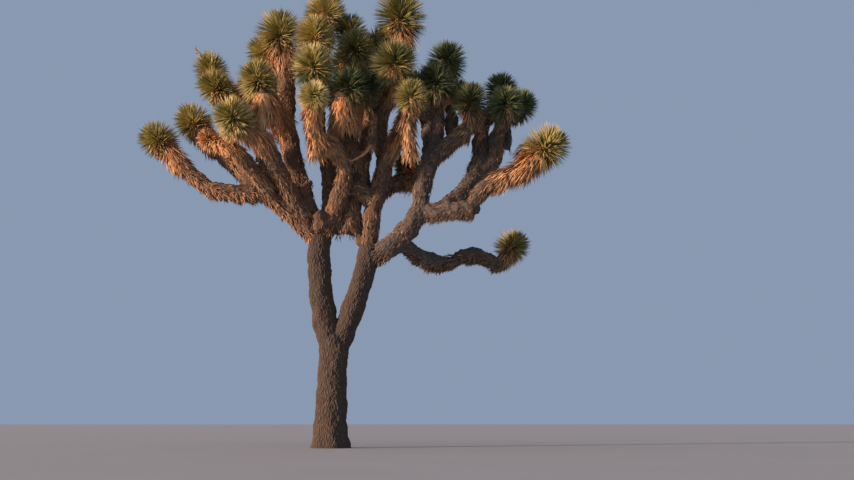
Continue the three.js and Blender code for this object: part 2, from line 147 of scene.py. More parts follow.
# The growth of the tree, by the source's own rule. A limb starts on the limb it grows on, at a share of its
# length, and bows from its chord by a sag and a sway. Its numbers are: the limb it is on, the share, its radius
# and length in metres, the chord's bearing and rise in degrees, and the sag and sway in metres.
LIMBS = {
    "trunk": {
        "trunk": ("", 0, 0.212, 1.38, 0, 89, -0.01, 0),
        "stem_left": ("trunk", 0.9, 0.172, 1.57, 180, 82, 0.075, -0.02),
        "stem_right": ("trunk", 0.86, 0.157, 1.53, 354, 72, 0.04, 0.01),
    },
    "left": {
        "bough_left": ("stem_left", 0.97, 0.13, 1.06, 198, 40, -0.05, -0.02),
        "bough_left_outer": ("bough_left", 0.97, 0.1, 0.754, 185, 3, 0.033, 0.03),
        "bough_left_tip": ("bough_left_outer", 0.97, 0.103, 0.65, 174, 42, 0.02, 0),
        "bough_left_high": ("bough_left", 0.86, 0.135, 1.267, 162, 42, 0.001, 0.003),
        "bough_left_front": ("bough_left", 0.8, 0.095, 0.955, 232, 36, -0.015, 0.029),
        "bough_left_inner": ("stem_left", 0.97, 0.125, 1.525, 229, 50, -0.086, -0.148),
        "bough_left_back": ("bough_left", 0.42, 0.125, 1.9, 148, 62, 0.074, 0.036),
    },
    "middle": {
        "bough_upright": ("stem_left", 0.98, 0.145, 1.787, 175, 73, 0.052, -0.02),
        "bough_upright_top": ("bough_upright", 0.98, 0.13, 0.918, 113, 86, 0.029, 0.001),
        "bough_middle_front": ("stem_left", 0.97, 0.125, 1.026, 321, 63, 0.004, 0.049),
        "bough_middle_tip": ("bough_middle_front", 0.97, 0.103, 0.672, 242, 32, -0.085, 0.046),
        "bough_middle_back": ("stem_left", 0.97, 0.118, 1.47, 89, 76, 0.06, -0.11),
        "bough_middle_top": ("bough_middle_back", 0.98, 0.105, 0.93, 238, 79, 0.02, -0.08),
        "bough_back_left": ("bough_upright", 0.45, 0.11, 2.221, 119, 51, -0.016, -0.043),
        "bough_back_middle": ("bough_middle_back", 0.6, 0.115, 2.13, 87, 53, -0.02, 0.07),
    },
    "centre": {
        "bough_right_upright": ("stem_right", 0.98, 0.12, 1.37, 12, 80, -0.045, 0.03),
        "bough_right_upright_top": ("bough_right_upright", 0.98, 0.118, 0.91, 62, 87, -0.03, 0.11),
        "bough_centre": ("bough_right_upright", 0.58, 0.12, 0.531, 180, 42, 0.105, 0.06),
        "bough_centre_top": ("bough_centre", 0.98, 0.11, 0.729, 282, 75, -0.003, 0.017),
        "bough_right_behind": ("bough_right_upright", 0.56, 0.105, 1.02, 56, 28, -0.07, 0.03),
        "bough_cross": ("bough_right_upright", 0.5, 0.13, 0.887, 117, 63, 0.087, 0.088),
        "bough_cross_top": ("bough_cross", 0.98, 0.115, 1.263, 99, 79, 0.032, -0.084),
    },
    "right": {
        "bough_right": ("stem_right", 0.93, 0.142, 0.97, 348, 41, 0.095, 0.01),
        "bough_right_up": ("bough_right", 0.98, 0.122, 0.81, 44, 75, -0.03, -0.01),
        "bough_right_up_top": ("bough_right_up", 0.98, 0.108, 0.74, 45, 79, 0.03, -0.03),
        "bough_right_up_side": ("bough_right_up", 0.88, 0.12, 0.725, 353, 42, -0.018, 0.007),
        "bough_right_low": ("bough_right", 0.97, 0.112, 0.765, 344, 1, -0.005, -0.009),
        "bough_right_low_tip": ("bough_right_low", 0.95, 0.1, 0.676, 348, 40, -0.073, -0.014),
        "bough_right_back": ("bough_right_low", 0.42, 0.125, 1.479, 44, 57, 0.178, -0.053),
        "bough_right_back_tip": ("bough_right_back", 0.55, 0.12, 0.522, 3, 52, 0.092, 0.051),
        "bough_lowest": ("bough_right", 0.52, 0.094, 0.945, 32, -13, 0.15, 0.019),
        "bough_lowest_tip": ("bough_lowest", 0.97, 0.094, 0.642, 25, 0, -0.1, -0.002),
        "bough_back_right": ("bough_right_up", 0.8, 0.105, 1.8, 93, 44, 0.04, -0.07),
    },
}

# The heads of each leaf mass: the limb that they are on and the share, and for each head the distance, bearing
# and rise of its heart from there, the bearing and rise that it faces, and its leaf length.
HEADS = {
    "left": {
        "head_left_outer": ("bough_left_tip", 1, (0.41, 179, 44, 180, 35, 0.285)),
        "head_left_high": ("bough_left_high", 1, (0.46, 179, 47, 175, 50, 0.295)),
        "head_left_front": ("bough_left_front", 1, (0.45, 156, 22, 215, 30, 0.17)),
        "head_left_inner": ("bough_left_inner", 1, (0.61, 223, 28, 245, 30, 0.3)),
        "heads_left_back": (
            "bough_left_back", 1, (0.67, 195, 33, 200, 45, 0.305), (1.2, 152, 45, 205, 65, 0.29),
            (1.26, 113, 25, 110, 25, 0.28)),
    },
    "middle": {
        "head_upright_front": ("bough_upright", 0.9, (1.05, 250, 31, 240, 50, 0.31)),
        "heads_upright_top": (
            "bough_upright_top", 1, (0.53, 206, 76, 270, 80, 0.385), (0.58, 142, 35, 170, 40, 0.31)),
        "head_middle_front": ("bough_middle_tip", 1, (0.61, 259, 52, 275, 10, 0.23)),
        "heads_middle_top": (
            "bough_middle_top", 1, (0.76, 270, 5, 260, 45, 0.345), (0.76, 264, 62, 245, 60, 0.355),
            (1.26, 69, 83, 65, 85, 0.35)),
        "heads_back_left": (
            "bough_back_left", 1, (0.84, 95, 64, 90, 65, 0.3), (0.82, 125, 33, 120, 25, 0.29),
            (0.49, 186, -9, 170, 30, 0.28)),
        "heads_back_middle": (
            "bough_back_middle", 1, (0.9, 92, 70, 80, 70, 0.3), (0.67, 109, 29, 95, 25, 0.29),
            (0.78, 35, 26, 50, 35, 0.29)),
    },
    "centre": {
        "heads_centre_front": (
            "bough_centre_top", 1, (0.52, 269, 48, 260, 55, 0.315), (0.54, 347, 66, 320, 50, 0.3)),
        "heads_centre_top": (
            "bough_cross_top", 1, (0.78, 216, 72, 235, 75, 0.31), (0.6, 262, 35, 275, 50, 0.315),
            (0.75, 48, 62, 20, 60, 0.335), (0.93, 92, 35, 80, 40, 0.295)),
        "heads_right_upright": (
            "bough_right_upright_top", 1, (0.6, 282, 41, 280, 50, 0.37), (1.34, 37, 82, 250, 80, 0.42)),
        "head_right_front": ("bough_right_upright", 0.93, (1.18, 294, 38, 275, 65, 0.26)),
        "head_right_behind": ("bough_right_behind", 1, (0.34, 118, 48, 135, 50, 0.22)),
    },
    "right": {
        "heads_right_up": (
            "bough_right_up_top", 1, (0.87, 46, 76, 315, 80, 0.33), (0.48, 265, 52, 255, 55, 0.31)),
        "head_right_up_side": ("bough_right_up_side", 1, (0.42, 295, 74, 290, 75, 0.3)),
        "heads_right_back": (
            "bough_right_back_tip", 1, (0.66, 285, 51, 275, 40, 0.285), (0.74, 8, 60, 0, 45, 0.28)),
        "head_right_back": ("bough_right_back", 1, (0.82, 30, 64, 135, 85, 0.29)),
        "head_right_low": ("bough_right_low_tip", 1, (0.65, 349, 34, 355, 35, 0.34)),
        "head_lowest": ("bough_lowest_tip", 1, (0.42, 19, 42, 10, 45, 0.275)),
        "heads_back_right": (
            "bough_back_right", 1, (0.66, 104, 57, 105, 60, 0.29), (0.61, 11, 33, 35, 40, 0.28)),
    },
}

# Knobs, stubs and lumps where a limb died back, one small tuft, and clumps where old dead leaves hang down in
# front of the limbs. A stub's numbers are: its group, root, tip and radius, and the length of growth that its
# dead leaves have behind them. A clump runs upwards, since dead leaves point back along their stem.
STUBS = {
    "knob_upright": ("middle", (-0.474, 0.0, 3.399), (-0.35, -0.03, 3.591), 0.09, 9),
    "stub_fork_left": ("middle", (-0.179, -0.07, 2.932), (-0.197, -0.19, 3.101), 0.12, 9),
    "stub_centre": ("centre", (0.363, -0.1, 3.46), (0.205, -0.17, 3.4), 0.035, 9),
    "stub_fork_right": ("centre", (0.433, 0.02, 2.768), (0.314, 0.1, 3.037), 0.09, 9),
    "lump_fork_centre": ("middle", (0.199, 0.0, 2.89), (0.257, 0.04, 3.437), 0.14, 1.5),
    "spur_fork_right": ("right", (0.606, -0.1, 2.606), (0.636, -0.12, 2.41), 0.04, 9),
    "clump_centre_left": ("centre", (0.143, -0.42, 4.29), (0.13, -0.5, 4.661), 0.17, 0.34),
    "clump_centre_low": ("centre", (0.242, -0.18, 3.708), (0.181, -0.2, 4.188), 0.15, 0.9),
    "clump_centre_burl": ("centre", (0.34, 0.0, 3.642), (0.348, 0.0, 4.075), 0.1, 1.1),
    "clump_middle_front": ("middle", (-0.202, -0.76, 3.852), (-0.213, -0.85, 4.234), 0.06, 0.36),
    "clump_right_front": ("centre", (1.061, -0.72, 3.809), (1.021, -0.8, 4.196), 0.07, 0.38),
    "clump_right_up": ("right", (1.654, 0.1, 4.309), (1.599, 0.1, 4.724), 0.09, 1.2),
    "clump_upright_front": ("middle", (-0.854, -0.8, 4.278), (-0.877, -0.88, 4.582), 0.15, 0.34),
    # clump_right_back hangs free of the bark, a dark clump that partly stands in for the shade below the heads
    # there
    "clump_right_back": ("right", (2.411, 0.55, 4.251), (2.459, 0.55, 4.54), 0.08, 1.2),
    "tuft_right_low": ("right", (2.574, -0.12, 3.982), (2.656, -0.16, 4.128), 0.03, 0.12),
    "clump_fork_front": ("middle", (0.105, -0.02, 2.858), (0.059, -0.02, 3.125), 0.08, 1.6),
    "clump_centre_right": ("centre", (0.499, -0.4, 3.985), (0.55, -0.42, 4.432), 0.06, 0.62),
}

LIMB_TAPER = 0.9
LIMB_ROOT_FIT = 0.8
LIMB_ROOT_LENGTH = 0.25
FLARE_RADIUS = 0.06
FLARE_HEIGHT = 0.18
NECK_FIT = 0.95
NECK_BEND = 0.38
NECK_NARROWS = 0.9
STEM_RADIUS = 0.07
STEM_TOP = 0.05
STUB_TAPER = 0.75
CURVE_STEPS = 80
LINE_STEP = 0.02
FEWEST_STEPS = 4
FORK_SHARE = 0.05
AGEING_PAST_FORK = 3
OLDEST_AGE = 99.0
GRAIN_SHIFT = 1.7
GOLDEN_ANGLE = 137.508
FULL_THATCH_AGE = 0.4
BARE_AGE = 1.5


def bezier(controls, share):
    """The point of a Bezier curve at a share of its parameter"""
    points = np.array(controls, float)
    while len(points) > 1:
        points = points[:-1] + (points[1:] - points[:-1]) * share
    return points[0]


def curve(controls, steps):
    """Points along a Bezier curve at even steps of its parameter"""
    return np.array([bezier(controls, share) for share in np.linspace(0, 1, steps)])


def smooth_step(value, low, high):
    """0 below the low value and 1 above the high one, with a soft change between them"""
    share = np.clip((value - low) / (high - low), 0, 1)
    return share * share * (3 - 2 * share)


def even_line(points):
    """A line laid again at even steps, and the run along it to each point"""
    runs = np.concatenate([[0], np.cumsum(np.linalg.norm(np.diff(points, axis=0), axis=1))])
    steps = np.linspace(0, runs[-1], max(FEWEST_STEPS, round(runs[-1] / LINE_STEP)))
    return np.stack([np.interp(steps, runs, points[:, k]) for k in range(3)], 1), steps


def limb_radius(limb, share):
    """A limb's outer radius at a share of its length, by the source's rule"""
    run = share * limb.length
    radius = limb.radius * (1 + (LIMB_TAPER - 1) * share)
    if not limb.on:
        return radius + FLARE_RADIUS * np.exp(-run / FLARE_HEIGHT)
    return radius * (LIMB_ROOT_FIT + (1 - LIMB_ROOT_FIT) * np.minimum(1, run / LIMB_ROOT_LENGTH))


def add_frames(strand):
    """Gives each point of a strand a heading and two directions across it, with no twist"""
    heading = np.gradient(strand.line, axis=0)
    heading /= np.linalg.norm(heading, axis=1)[:, None]
    across = np.zeros_like(heading)
    last = np.array([0.0, 1, 0])
    for i, direction in enumerate(heading):
        last = last - direction * (last @ direction)
        last /= np.linalg.norm(last)
        across[i] = last
    strand.heading, strand.across, strand.aside = heading, across, np.cross(across, heading)


limbs = {}
for group, rows in LIMBS.items():
    for name, (on, at, radius, length, bearing, rise, sag, sway) in rows.items():
        root = bezier(limbs[on].controls, at) if on else np.zeros(3)
        tip = root + length * towards(bearing, rise)
        elbow = (root + tip) / 2 - 2 * sag * towards(bearing, rise + 90) + 2 * sway * towards(bearing + 90, 0)
        limb = SimpleNamespace(group=group, name=name, on=on, at=at, radius=radius, length=length)
        limb.controls = (root, elbow, tip)
        limb.line, limb.run = even_line(curve(limb.controls, CURVE_STEPS))
        limb.outer = limb_radius(limb, limb.run / limb.run[-1])
        limbs[name] = limb

necks = []
for group, masses in HEADS.items():
    for mass, (on, at, *rows) in masses.items():
        for distance, bearing, rise, faces_bearing, faces_rise, leaf in rows:
            start = bezier(limbs[on].controls, at)
            chord = towards(bearing, rise)
            heart = start + distance * chord
            axis = towards(faces_bearing, faces_rise)
            heading = bezier(np.diff(limbs[on].controls, axis=0), at)
            heading /= np.linalg.norm(heading)
            if at < 1:
                heading = (heading + chord) / np.linalg.norm(heading + chord)
            bend = NECK_BEND * distance
            bent = curve((start, start + bend * heading, heart - bend * axis, heart), CURVE_STEPS)
            neck = SimpleNamespace(group=group, name=mass, on=on, at=at, heart=heart, axis=axis, leaf=leaf)
            neck.line, neck.run = even_line(np.array([*bent, heart + STEM_TOP * leaf * axis]))
            grown = neck.run[-1] - STEM_TOP * leaf
            neck.age = np.maximum(0, grown - neck.run)
            root_radius = NECK_FIT * limb_radius(limbs[on], at)
            share = np.clip(neck.run / grown, 0, 1)
            neck.outer = root_radius + (STEM_RADIUS - root_radius) * smooth_step(share, 0, NECK_NARROWS)
            necks.append(neck)


def ages(limb):
    """The length of growth from each point of a limb to the nearest head that it carries"""
    share = limb.run / limb.run[-1]
    found = np.full(len(share), OLDEST_AGE)
    grown = [(neck.at, neck.age[0]) for neck in necks if neck.on == limb.name]
    grown += [(other.at, ages(other)[0]) for other in limbs.values() if other.on == limb.name]
    for at, age in grown:
        beyond = np.where(share < at + FORK_SHARE, 1, AGEING_PAST_FORK)
        found = np.minimum(found, age + beyond * abs(at - share) * limb.length)
    return found


for limb in limbs.values():
    limb.age = ages(limb)
strands = [*limbs.values(), *necks]
for name, (group, root, tip, radius, age) in STUBS.items():
    stub = SimpleNamespace(group=group, name=name)
    stub.line, stub.run = even_line(np.array([root, tip]))
    stub.outer = radius * np.linspace(1, STUB_TAPER, len(stub.run))
    stub.age = np.full(len(stub.run), float(age))
    strands.append(stub)
for order, strand in enumerate(strands):
    add_frames(strand)
    strand.shift = GRAIN_SHIFT * order
    strand.thatch = 1 - smooth_step(strand.age, FULL_THATCH_AGE, BARE_AGE)

# The bark: one closed skin over each group of limbs, drawn over round bars that follow the limbs, so that every
# fork is grown together. Its relief is furrows between long corky plates that run with each limb's own grain,
# over slow lumps. Where dead leaves cover a limb, the wood under them is thinner.
WOOD_UNDER_THATCH = 0.9
BAR_SIDES = 24
FOOT_DEPTH = 0.1
TIP_DOME = ((0.4, 0.9), (0.7, 0.66), (0.86, 0.35))
GRAIN_STRETCH = 4.2
GRAIN_WAVER = 0.03
WAVER_SCALE = 20
PLATE_WIDTH = 0.021
PLATE_HEIGHTS = (0.55, 0.6)
FURROW_SHARE = 0.26
MEAN_RIDGE = 0.6
NOISE_MIDDLE = 0.5
GRIT_SCALE = 45
LUMP_SCALE = 4.6
LUMP_SWING = 4
ROUNDING = 5
STREAK_SCALE = 60
STREAK_RANGE = (0.34, 0.62)
STREAK_LEAST = 0.15
PATCH_SCALE = 2.4
PATCH_RANGE = (0.42, 0.62)
PLATE_TONES = (0.35, 0.65)
OWN_TONES = (0.7, 0.45)
CRACK_SCALE = 160
CRACK_HEIGHT = 0.6
BARK_BUMP = {"Strength": 0.7, "Distance": 0.008}
BARK_ROUGHNESS = 0.92
POINTS_AT_ONCE = 2000
BARK_GROUPS = {"trunk": SimpleNamespace(
    piece="trunk_and_stems_bark", slot="trunk_bark", voxel=0.009, furrow=0.009, lump=0.02)}
for group, voxel in (("left", 0.013), ("middle", 0.015), ("centre", 0.014), ("right", 0.014)):
    BARK_GROUPS[group] = SimpleNamespace(
        piece=f"boughs_{group}_bark", slot="bough_bark", voxel=voxel, furrow=0.008, lump=0.045)


def bar_rings(strand):
    """A round bar's rings along a strand and over its tip, each a centre, a row and a radius"""
    wood = strand.outer * (1 - (1 - WOOD_UNDER_THATCH) * strand.thatch)
    rings = [(strand.line[i], i, wood[i]) for i in range(len(wood))]
    if strand.name == "trunk":
        rings.insert(0, (strand.line[0] - [0, 0, FOOT_DEPTH], 0, wood[0]))
    last = len(wood) - 1
    for ahead, width in TIP_DOME:
        rings.append((strand.line[last] + strand.heading[last] * ahead * wood[last], last, width * wood[last]))
    return rings


def bars_mesh(name, members):
    """Round bars along strands, as one mesh of closed shells that run through each other"""
    points, faces = [], []
    turns = np.linspace(0, math.tau, BAR_SIDES, endpoint=False)
    for strand in members:
        rings = bar_rings(strand)
        first = len(points)
        for centre, i, radius in rings:
            spokes = np.outer(np.cos(turns), strand.across[i]) + np.outer(np.sin(turns), strand.aside[i])
            points.extend(centre + radius * spokes)
        for ring in range(len(rings) - 1):
            low = first + ring * BAR_SIDES
            for side in range(BAR_SIDES):
                beside = (side + 1) % BAR_SIDES
                faces.append((low + beside, low + side, low + side + BAR_SIDES, low + beside + BAR_SIDES))
        faces.append(tuple(range(first, first + BAR_SIDES)))
        faces.append(tuple(reversed(range(len(points) - BAR_SIDES, len(points)))))
    mesh = bpy.data.meshes.new(name)
    mesh.from_pydata(np.array(points).tolist(), [], faces)
    return mesh


def worked_out(made, name):
    """The plain mesh that an object's modifiers make, with the object gone"""
    mesh = bpy.data.meshes.new_from_object(made.evaluated_get(bpy.context.evaluated_depsgraph_get()))
    mesh.name = name
    bpy.data.objects.remove(made)
    return mesh


def grown_mesh(name, mesh, tree, inputs, values):
    """The plain mesh that a node tree makes of a mesh, with values for the tree's inputs"""
    made = shown_object("work", mesh)
    work = made.modifiers.new("work", "NODES")
    work.node_group = tree
    for label, value in values.items():
        work[inputs[label]] = value
    return worked_out(made, name)


def points_of(mesh):
    """A mesh's points as rows of numbers"""
    found = np.zeros(len(mesh.vertices) * 3, np.float32)
    mesh.vertices.foreach_get("co", found)
    return found.reshape(-1, 3)


def set_attribute(mesh, name, kind, values):
    """Gives each point of a mesh its own number or vector under a name"""
    key = "vector" if kind == "FLOAT_VECTOR" else "value"
    mesh.attributes.new(name, kind, "POINT").data.foreach_set(key, np.ascontiguousarray(values).ravel())


def nearest_rows(points, members, step=2):
    """The strand and row nearest to each point, and how far the point is outside its skin"""
    owner = np.concatenate([np.full(len(s.line[::step]), k) for k, s in enumerate(members)])
    row = np.concatenate([np.arange(len(s.line))[::step] for s in members])
    centres = np.concatenate([s.line[::step] for s in members]).astype(np.float32)
    radii = np.concatenate([s.outer[::step] for s in members]).astype(np.float32)
    best, apart = [], []
    for chunk in np.array_split(points.astype(np.float32), max(1, len(points) // POINTS_AT_ONCE)):
        square = (chunk**2).sum(1)[:, None] + (centres**2).sum(1)[None] - 2 * chunk @ centres.T
        outside = np.sqrt(np.maximum(square, 0)) - radii
        best.append(outside.argmin(1))
        apart.append(outside.min(1))
    best = np.concatenate(best)
    return owner[best], row[best], np.concatenate(apart)


def grain_places(points, members):
    """Each point's place in its limb's own grain: across the limb, and along it drawn together"""
    owner, row, _ = nearest_rows(points, members)
    grain = np.zeros((len(points), 3), np.float32)
    for k, strand in enumerate(members):
        mine = owner == k
        at = row[mine]
        offset = points[mine] - strand.line[at]
        across = (offset * strand.across[at]).sum(1)
        aside = (offset * strand.aside[at]).sum(1)
        along = strand.run[at] + (offset * strand.heading[at]).sum(1)
        grain[mine] = np.stack([across + strand.shift, aside, along / GRAIN_STRETCH], 1)
    return grain


def new_tree(name, inputs):
    """A geometry node tree with named number inputs, and each input's identifier"""
    tree = bpy.data.node_groups.new(name, "GeometryNodeTree")
    tree.interface.new_socket("Geometry", in_out="OUTPUT", socket_type="NodeSocketGeometry")
    tree.interface.new_socket("Geometry", in_out="INPUT", socket_type="NodeSocketGeometry")
    made = {}
    for label in inputs:
        made[label] = tree.interface.new_socket(label, in_out="INPUT", socket_type="NodeSocketFloat").identifier
    return tree, made


def maths(tree, operation, *values):
    """The result of one sum on numbers or sockets"""
    return put(tree, "ShaderNodeMath", dict(enumerate(values)), operation=operation).outputs[0]


def vector_maths(tree, operation, *values, **named):
    """The result of one sum on vectors or sockets"""
    inputs = dict(enumerate(values))
    inputs.update(named)
    return put(tree, "ShaderNodeVectorMath", inputs, operation=operation).outputs[0]


def waves(tree, place, scale, detail):
    """Soft noise with three numbers at each place, evenly about zero"""
    return vector_maths(tree, "SUBTRACT", noise(tree, place, scale, detail, "Color"), (NOISE_MIDDLE,) * 3)


def rising(tree, value, base, gain):
    """A base, and a gain for each unit of a value"""
    return maths(tree, "ADD", base, maths(tree, "MULTIPLY", value, gain))


def swing(tree, value, middle, reach):
    """A value's distance from its middle, times a reach"""
    return maths(tree, "MULTIPLY", maths(tree, "SUBTRACT", value, middle), reach)


def ranged(tree, value, start, end, to=(0, 1), **settings):
    """A value carried from one range to another and kept in it"""
    inputs = {"Value": value, "From Min": start, "From Max": end, "To Min": to[0], "To Max": to[1]}
    return put(tree, "ShaderNodeMapRange", inputs, **settings).outputs[0]


def stored(tree, name, kind="FLOAT_VECTOR"):
    """The values that a mesh keeps under a name"""
    return put(tree, "GeometryNodeInputNamedAttribute", {"Name": name}, data_type=kind).outputs[0]


def plate_pattern(tree, grain, scale):
    """Wavering plates: 0 in a furrow and 1 on a plate, and each plate's own number"""
    waver = vector_maths(tree, "SCALE", waves(tree, grain, WAVER_SCALE, 2), Scale=GRAIN_WAVER)
    cells = {"Vector": vector_maths(tree, "ADD", grain, waver), "Scale": scale}
    edge = put(tree, "ShaderNodeTexVoronoi", cells, feature="DISTANCE_TO_EDGE").outputs[0]
    own = put(tree, "ShaderNodeSeparateXYZ", {0: put(tree, "ShaderNodeTexVoronoi", cells).outputs["Color"]})
    return ranged(tree, edge, 0, FURROW_SHARE, interpolation_type="SMOOTHSTEP"), own.outputs["X"]


bark_tree, bark_inputs = new_tree("bark_relief", ("Furrow Depth", "Plate Width", "Lump Height"))
given = put(bark_tree, "NodeGroupInput").outputs
grain = stored(bark_tree, "grain")
place = put(bark_tree, "GeometryNodeInputPosition").outputs[0]
normal = put(bark_tree, "GeometryNodeInputNormal").outputs[0]
rounded = put(bark_tree, "GeometryNodeBlurAttribute", {"Value": place, "Iterations": ROUNDING},
              data_type="FLOAT_VECTOR")
body = put(bark_tree, "GeometryNodeSetPosition", {
    "Geometry": given["Geometry"], "Position": rounded.outputs[0]})
plate, own = plate_pattern(bark_tree, grain, maths(bark_tree, "DIVIDE", 1, given["Plate Width"]))
ridge = maths(bark_tree, "MULTIPLY", plate, rising(bark_tree, own, *PLATE_HEIGHTS))
depth = swing(bark_tree, ridge, MEAN_RIDGE, given["Furrow Depth"])
grit = swing(bark_tree, noise(bark_tree, grain, GRIT_SCALE, 3), NOISE_MIDDLE, given["Furrow Depth"])
swell = swing(bark_tree, noise(bark_tree, place, LUMP_SCALE, 2), NOISE_MIDDLE, given["Lump Height"])
swell = maths(bark_tree, "MULTIPLY", swell, LUMP_SWING)
height = maths(bark_tree, "ADD", maths(bark_tree, "ADD", depth, grit), swell)
offset = vector_maths(bark_tree, "SCALE", normal, Scale=height)
carved = put(bark_tree, "GeometryNodeSetPosition", {"Geometry": body.outputs[0], "Offset": offset})
bark_dress = put(bark_tree, "GeometryNodeSetMaterial", {"Geometry": carved.outputs[0]})
put(bark_tree, "NodeGroupOutput", {"Geometry": bark_dress.outputs[0]})


def bark_material(name, ridge_colour, furrow_colour, weathered_colour):
    """Corky bark: dark furrows between lighter plates, streaked and weathered in patches"""
    material, tree = blank_material(name)
    grain = put(tree, "ShaderNodeAttribute", attribute_name="grain").outputs["Vector"]
    place = put(tree, "ShaderNodeTexCoord").outputs["Object"]
    plate, own = plate_pattern(tree, grain, 1 / PLATE_WIDTH)
    lit = ranged(tree, noise(tree, grain, STREAK_SCALE, 5), *STREAK_RANGE, (STREAK_LEAST, 1))
    bare = maths(tree, "MULTIPLY", rising(tree, plate, *PLATE_TONES), lit)
    tone = maths(tree, "MULTIPLY", bare, rising(tree, own, *OWN_TONES))
    patch = ranged(tree, noise(tree, place, PATCH_SCALE, 4), *PATCH_RANGE)
    colour = blend(tree, tone, furrow_colour, blend(tree, patch, ridge_colour, weathered_colour))
    height = rising(tree, noise(tree, grain, CRACK_SCALE, 4), plate, CRACK_HEIGHT)
    bump = put(tree, "ShaderNodeBump", {"Height": height, **BARK_BUMP})
    dress(tree, {"Base Color": colour, "Roughness": BARK_ROUGHNESS, "Normal": bump.outputs[0]})
    return material


TRUNK_BARK = bark_material("trunk_bark", (0.146, 0.104, 0.077), (0.062, 0.048, 0.038), (0.115, 0.097, 0.08))
BOUGH_BARK = bark_material("bough_bark", (0.3, 0.18, 0.11), (0.085, 0.054, 0.037), (0.22, 0.155, 0.11))
# The right group's bark is darker and greyer than the other boughs', as painted shade from the crown.
SHADED_BARK = bark_material("shaded_bark", (0.188, 0.15, 0.124), (0.07, 0.059, 0.052), (0.162, 0.144, 0.128))
BARK_DRESSES = {"trunk": TRUNK_BARK, "right": SHADED_BARK}


def cut_foot(mesh):
    """Cuts a mesh flat at ground level and closes the cut"""
    work = bmesh.new()
    work.from_mesh(mesh)
    everything = work.verts[:] + work.edges[:] + work.faces[:]
    bmesh.ops.bisect_plane(work, geom=everything, plane_co=(0, 0, 0), plane_no=(0, 0, 1), clear_inner=True)
    rim = [edge for edge in work.edges if edge.is_boundary]
    bmesh.ops.contextual_create(work, geom=rim)
    work.to_mesh(mesh)
    work.free()


for group, bark in BARK_GROUPS.items():
    members = [strand for strand in strands if strand.group == group]
    drawn = shown_object("bars", bars_mesh("bars", members))
    skin = drawn.modifiers.new("skin", "REMESH")
    skin.mode = "VOXEL"
    skin.voxel_size = bark.voxel
    mesh = worked_out(drawn, bark.piece)
    set_attribute(mesh, "grain", "FLOAT_VECTOR", grain_places(points_of(mesh), members))
    bark_dress.inputs["Material"].default_value = BARK_DRESSES.get(group, BOUGH_BARK)
    mesh = grown_mesh(bark.piece, mesh, bark_tree, bark_inputs, {
        "Furrow Depth": bark.furrow, "Plate Width": PLATE_WIDTH, "Lump Height": bark.lump})
    if group == "trunk":
        cut_foot(mesh)
    mesh.shade_smooth()
    piece = shown_object(bark.piece, mesh)
    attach(piece, "root")
    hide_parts(*LIMBS[group])

# The dagger leaves, dead and green, are all one shape: a stiff three-sided blade, widest near its foot, that
# narrows to a spine and curls a little. The tree below sets one on every point, aimed and sized by the point.
BLADE_STEPS = {"dead": 2, "green": 3}
BLADE_SPAN = (1.5, 1.7)
FOOT_RANGE = (0.3, 0)
TIP_RANGE = (0.72, 1)
BLOTCH_SCALE = 9
BLOTCH_RANGE = (0.3, 0.7)
BLOTCH_LIGHT = (0.84, 1.16)
RIB_SCALE = 240
RIB_BUMP = {"Strength": 0.25, "Distance": 0.002}


def leaf_tree(name, steps, materials):
    """Sets a blade on each point of a mesh, along its aim and face, and dresses each kind"""
    tree, inputs = new_tree(name, ("Curl", "Bulge", "Sway", "Sway Scale"))
    given = put(tree, "NodeGroupInput").outputs
    cone = put(tree, "GeometryNodeMeshCone", {
        "Vertices": 3, "Side Segments": steps, "Fill Segments": 1, "Radius Top": 0, "Radius Bottom": 1,
        "Depth": 1})
    place = put(tree, "GeometryNodeInputPosition").outputs[0]
    parts = put(tree, "ShaderNodeSeparateXYZ", {0: place}).outputs
    reach = parts["Z"]
    bulged = maths(tree, "POWER", reach, 2)
    wide = rising(tree, bulged, 1, given["Bulge"])
    shaped = put(tree, "ShaderNodeCombineXYZ", {
        "X": maths(tree, "MULTIPLY", parts["X"], wide),
        "Y": maths(tree, "MULTIPLY", parts["Y"], wide),
        "Z": reach,
    })
    blade = put(tree, "GeometryNodeSetPosition", {
        "Geometry": cone.outputs["Mesh"], "Position": shaped.outputs[0]})
    blade = put(tree, "GeometryNodeStoreNamedAttribute", {
        "Geometry": blade.outputs[0], "Name": "reach", "Value": reach}, data_type="FLOAT", domain="POINT")
    own = {label: stored(tree, label) for label in ("aim", "face", "size")}
    turned = put(tree, "FunctionNodeAxesToRotation", {0: own["aim"], 1: own["face"]},
                 primary_axis="Z", secondary_axis="Y")
    sown = put(tree, "GeometryNodeInstanceOnPoints", {
        "Points": given["Geometry"], "Instance": blade.outputs[0], "Rotation": turned.outputs[0],
        "Scale": own["size"]})
    real = put(tree, "GeometryNodeRealizeInstances", {"Geometry": sown.outputs[0]})
    far = maths(tree, "POWER", stored(tree, "reach", "FLOAT"), 2)
    drift = vector_maths(tree, "SCALE", waves(tree, place, given["Sway Scale"], 1),
                         Scale=maths(tree, "MULTIPLY", far, given["Sway"]))
    long = put(tree, "ShaderNodeSeparateXYZ", {0: own["size"]}).outputs["Z"]
    bend = vector_maths(tree, "SCALE", own["face"], Scale=maths(
        tree, "MULTIPLY", maths(tree, "MULTIPLY", far, given["Curl"]), long))
    swayed = put(tree, "GeometryNodeSetPosition", {
        "Geometry": real.outputs[0], "Offset": vector_maths(tree, "ADD", drift, bend)})
    kind = stored(tree, "kind", "INT")
    shape = swayed.outputs[0]
    for order, material in enumerate(materials):
        mine = put(tree, "FunctionNodeCompare", {2: kind, 3: order}, data_type="INT", operation="EQUAL")
        shape = put(tree, "GeometryNodeSetMaterial", {
            "Geometry": shape, "Selection": mine.outputs[0], "Material": material}).outputs[0]
    put(tree, "NodeGroupOutput", {"Geometry": shape})
    return tree, inputs


